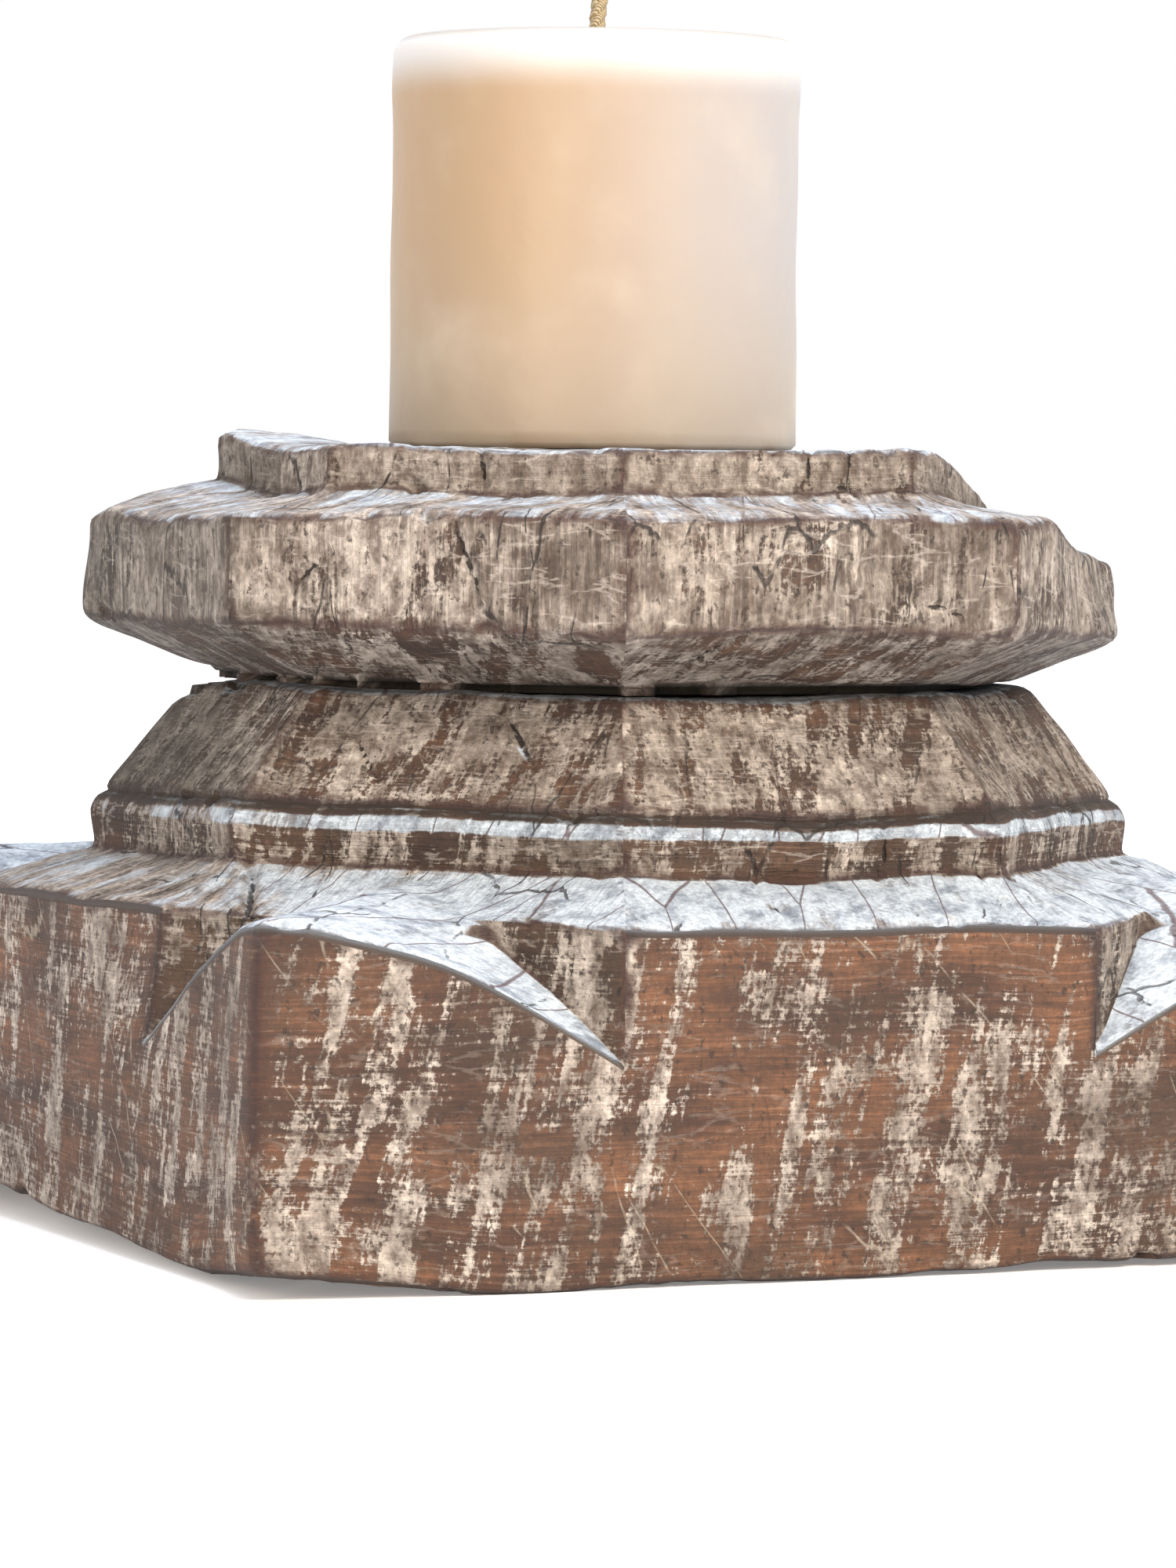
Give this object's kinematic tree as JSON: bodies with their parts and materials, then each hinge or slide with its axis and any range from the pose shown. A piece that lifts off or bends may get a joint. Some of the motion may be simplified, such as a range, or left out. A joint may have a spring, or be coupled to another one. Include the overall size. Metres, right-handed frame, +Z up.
{
  "type": "candlestick",
  "caption": "Carved wooden pillar base used as a candlestick: octagonal cap, disc and flare on a square foot, with a pillar candle that lifts off an iron spike.",
  "frame": {"origin": "centre of the square foot's underside, on the surface that it stands on", "axes": "+Z up along the candle, X and Y square to the flat sides of the foot"},
  "size_m": [0.218, 0.218, 0.2298],
  "materials": {
    "lower_timber": "old red-brown hardwood, worn, with remains of limewash",
    "upper_timber": "weathered hardwood, pale grey limewash worn through to brown at the edges",
    "dowel_wood": "plain turned hardwood, uncoated",
    "black_iron": "dark waxed iron",
    "screw_steel": "dull zinc-plated steel",
    "wax": "ivory candle wax, slightly mottled, semi-matt",
    "wick_cotton": "braided cotton dipped in wax"
  },
  "bodies": {
    "stand": {"lower_block": "lower_timber", "upper_block": "upper_timber", "joint_dowel_1": "dowel_wood", "joint_dowel_2": "dowel_wood", "joint_dowel_3": "dowel_wood", "joint_dowel_4": "dowel_wood", "candle_plate": "black_iron", "spike": "black_iron", "plate_screw_1": "screw_steel", "plate_screw_2": "screw_steel", "plate_screw_3": "screw_steel"},
    "candle_body": {"candle": "wax", "wick": "wick_cotton"}
  },
  "joints": [
    {"name": "candle_lift", "type": "slide", "parent": "stand", "child": "candle_body", "axis": [0, 0, 1], "range_m": [0, 0.05]}
  ]
}
